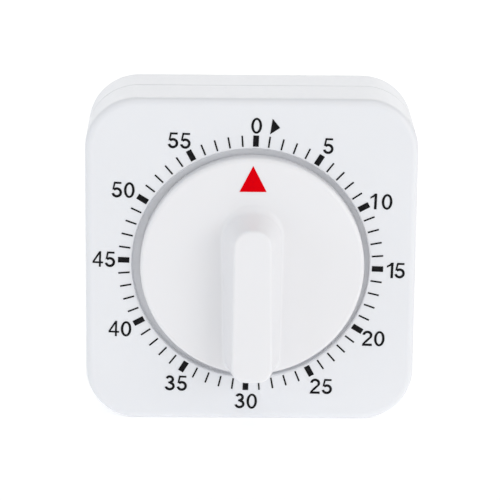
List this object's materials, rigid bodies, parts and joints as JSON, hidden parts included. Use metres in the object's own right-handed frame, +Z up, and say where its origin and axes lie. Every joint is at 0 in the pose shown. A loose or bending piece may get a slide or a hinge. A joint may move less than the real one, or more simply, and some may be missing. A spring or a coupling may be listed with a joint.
{
  "type": "kitchen timer",
  "caption": "Square wind-up kitchen timer with rounded corners, a minute scale on its face, a disc knob with a bar grip, and a spring clockwork with a bell inside.",
  "frame": {"origin": "on the table, below the middle of the whole timer", "axes": "+Z up, the dial looks along -Y, +X to the viewer's right"},
  "size_m": [0.07, 0.0344, 0.0706],
  "materials": {
    "white_case": "satin moulded plastic, faintly cool white",
    "white_knob": "satin moulded plastic, neutral white",
    "black_ink": "printed ink",
    "red_ink": "printed ink",
    "steel": "plain or nickel-plated steel",
    "brass": "stamped or turned brass",
    "magnet": "pressed ferrite"
  },
  "bodies": {
    "case": {"front_shell": "white_case", "back_cover": "white_case", "cover_screws": "steel", "magnets": "magnet", "dial_print": "black_ink", "front_plate": "steel", "back_plate": "steel", "plate_pillars": "steel", "pillar_nuts": "steel", "movement_screws": "steel", "mainspring": "steel", "hairspring": "steel", "hairspring_stud": "brass", "stop_spring": "steel", "bell": "steel", "bell_post": "brass", "bell_screw": "steel"},
    "knob": {"dial_knob": "white_knob", "pointer_print": "red_ink", "main_arbor": "steel", "arbor_clip": "steel", "main_wheel": "brass", "clutch_spring": "steel", "alarm_cam": "brass"},
    "second": {"second_arbor": "steel", "second_wheel": "brass"},
    "third": {"third_arbor": "steel", "third_wheel": "brass"},
    "escape": {"escape_arbor": "steel", "escape_wheel": "brass"},
    "balance": {"balance_staff": "steel", "balance_wheel": "brass", "impulse_roller": "brass"},
    "pallet": {"pallet_arbor": "steel", "pallet_lever": "brass", "pallet_pins": "steel"},
    "alarm": {"alarm_wheel": "brass"},
    "star": {"star_arbor": "steel", "star_wheel": "brass"},
    "hammer": {"hammer_arbor": "steel", "hammer_anchor": "brass", "hammer_arm": "steel", "hammer_head": "brass"},
    "stop": {"stop_arbor": "steel", "stop_lever": "steel"}
  },
  "joints": [
    {"name": "knob_turn", "type": "hinge", "parent": "case", "child": "knob", "pos_m": [0.0003, 0, 0.0348], "axis": [0, 1, 0], "range_deg": [0, 354]},
    {"name": "second_spin", "type": "hinge", "parent": "case", "child": "second", "pos_m": [-0.01084, 0, 0.027], "axis": [0, 1, 0], "range_deg": [-2655, 0]},
    {"name": "third_spin", "type": "hinge", "parent": "case", "child": "third", "pos_m": [-0.00524, 0, 0.0173], "axis": [0, 1, 0], "range_deg": [0, 18585]},
    {"name": "escape_spin", "type": "hinge", "parent": "case", "child": "escape", "pos_m": [0.00421, 0, 0.01897], "axis": [0, 1, 0], "range_deg": [-130095, 0]},
    {"name": "balance_swing", "type": "hinge", "parent": "case", "child": "balance", "pos_m": [0.01701, 0, 0.02377], "axis": [0, 1, 0], "range_deg": [-20, 20]},
    {"name": "pallet_rock", "type": "hinge", "parent": "case", "child": "pallet", "pos_m": [0.01161, 0, 0.01927], "axis": [0, 1, 0], "range_deg": [-4, 4]},
    {"name": "alarm_spin", "type": "hinge", "parent": "case", "child": "alarm", "pos_m": [0.0003, 0, 0.0348], "axis": [0, 1, 0], "range_deg": [0, 354]},
    {"name": "star_spin", "type": "hinge", "parent": "case", "child": "star", "pos_m": [0.0081, 0, 0.04594], "axis": [0, 1, 0], "range_deg": [-2655, 0]},
    {"name": "hammer_swing", "type": "hinge", "parent": "case", "child": "hammer", "pos_m": [0.01467, 0, 0.04418], "axis": [0, 1, 0], "range_deg": [-3, 3]},
    {"name": "stop_lift", "type": "hinge", "parent": "case", "child": "stop", "pos_m": [-0.0077, 0, 0.0473], "axis": [0, 1, 0], "range_deg": [-4, 0]}
  ],
  "couplings": [
    {"joint": "second_spin", "follows": "knob_turn", "ratio": -7.5},
    {"joint": "third_spin", "follows": "knob_turn", "ratio": 52.5},
    {"joint": "escape_spin", "follows": "knob_turn", "ratio": -367.5},
    {"joint": "pallet_rock", "follows": "balance_swing", "ratio": -0.2},
    {"joint": "star_spin", "follows": "alarm_spin", "ratio": -7.5}
  ]
}
